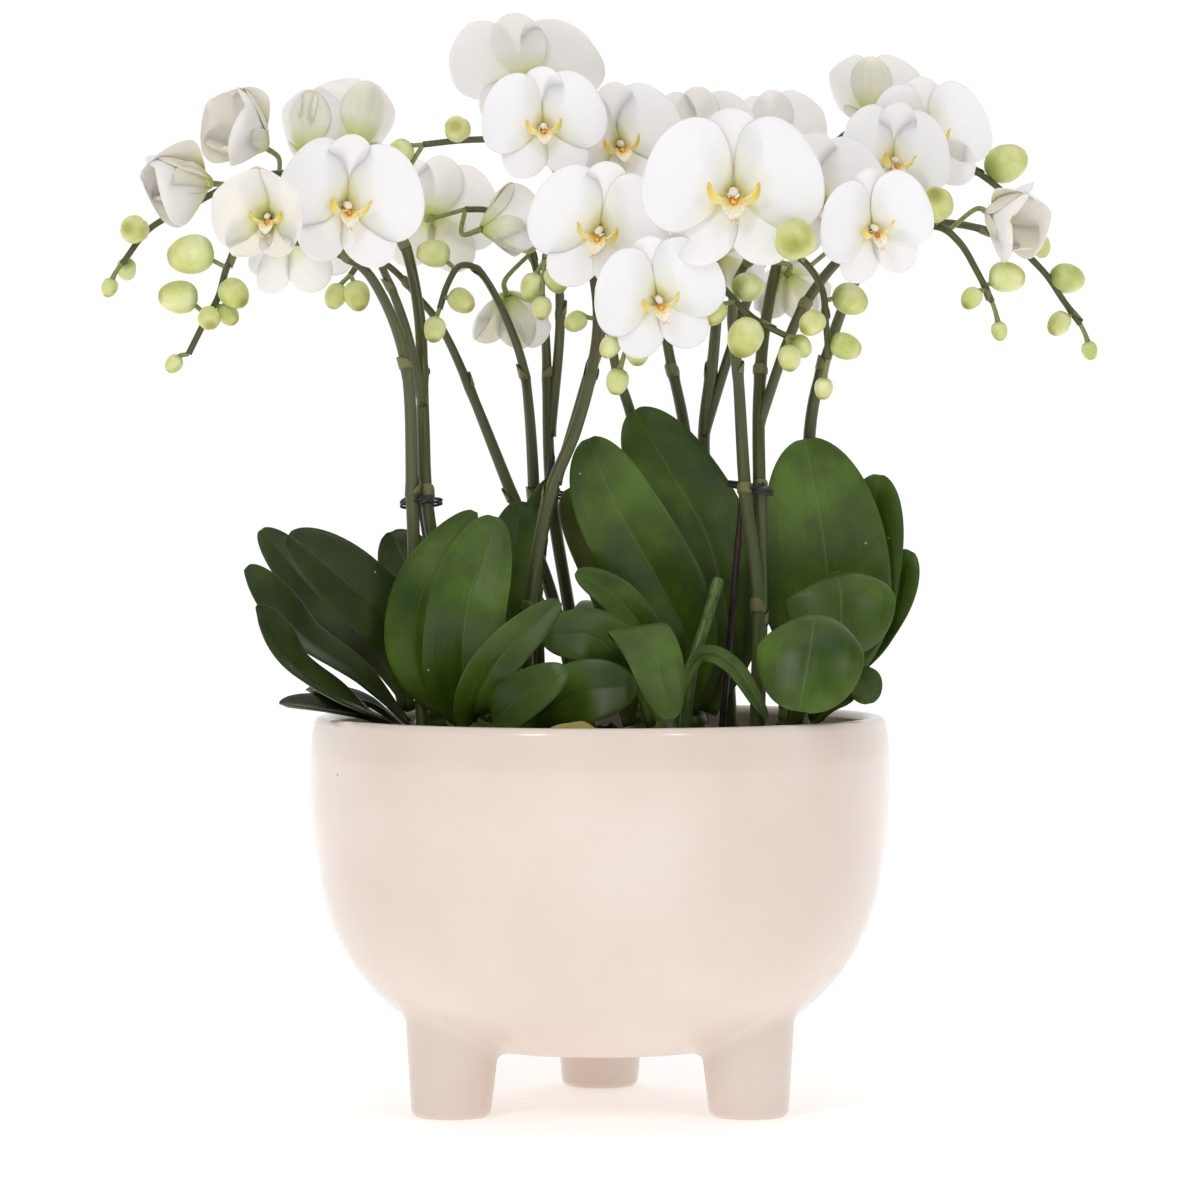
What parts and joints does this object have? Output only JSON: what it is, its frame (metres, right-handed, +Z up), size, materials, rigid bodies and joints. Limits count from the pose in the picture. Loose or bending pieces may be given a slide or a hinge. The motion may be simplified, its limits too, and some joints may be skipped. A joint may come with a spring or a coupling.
{
  "type": "orchid in a bowl",
  "caption": "White moth orchids on arching stalks above broad leaves, planted in bark in a round glazed ceramic bowl on feet.",
  "frame": {"origin": "on the surface under the bowl's feet, on the bowl's vertical axis", "axes": "+Z up along the bowl's axis, -Y towards the side the flowers face, +X to the right seen from there"},
  "size_m": [0.41, 0.24, 0.4533],
  "materials": {
    "glaze": "gloss",
    "bark": "matte",
    "crown": "satin",
    "stalk": "satin",
    "leaf": "satin",
    "petal": "satin",
    "black_stake": "satin",
    "purple_stake": "satin",
    "tie_wire": "matte"
  },
  "bodies": {
    "root": {"bowl": "glaze", "bark_bed": "bark", "left_crown": "crown", "front_left_crown": "crown", "back_crown": "crown", "front_crown": "crown", "centre_crown": "crown", "right_crown": "crown", "left_front_stalk": "stalk", "left_rear_stalk": "stalk", "middle_leaning_stalk": "stalk", "middle_left_stalk": "stalk", "middle_twin_stalk": "stalk", "centre_front_stalk": "stalk", "centre_rear_stalk": "stalk", "back_tall_stalk": "stalk", "right_twin_rear_stalk": "stalk", "right_front_stalk": "stalk", "right_twin_stalk": "stalk", "right_far_stalk": "stalk", "leaf_01": "leaf", "leaf_02": "leaf", "leaf_03": "leaf", "leaf_04": "leaf", "leaf_05": "leaf", "leaf_06": "leaf", "leaf_07": "leaf", "leaf_08": "leaf", "leaf_09": "leaf", "leaf_10": "leaf", "leaf_11": "leaf", "leaf_12": "leaf", "leaf_13": "leaf", "leaf_14": "leaf", "leaf_15": "leaf", "leaf_16": "leaf", "leaf_17": "leaf", "leaf_18": "leaf", "flower_01": "petal", "flower_02": "petal", "flower_03": "petal", "flower_04": "petal", "flower_05": "petal", "flower_06": "petal", "flower_07": "petal", "flower_08": "petal", "flower_09": "petal", "flower_10": "petal", "flower_11": "petal", "flower_12": "petal", "flower_13": "petal", "flower_14": "petal", "flower_15": "petal", "flower_16": "petal", "stake_1": "black_stake", "stake_2": "black_stake", "stake_3": "purple_stake", "tie_1": "tie_wire", "tie_2": "tie_wire", "tie_3": "tie_wire"}
  },
  "joints": []
}
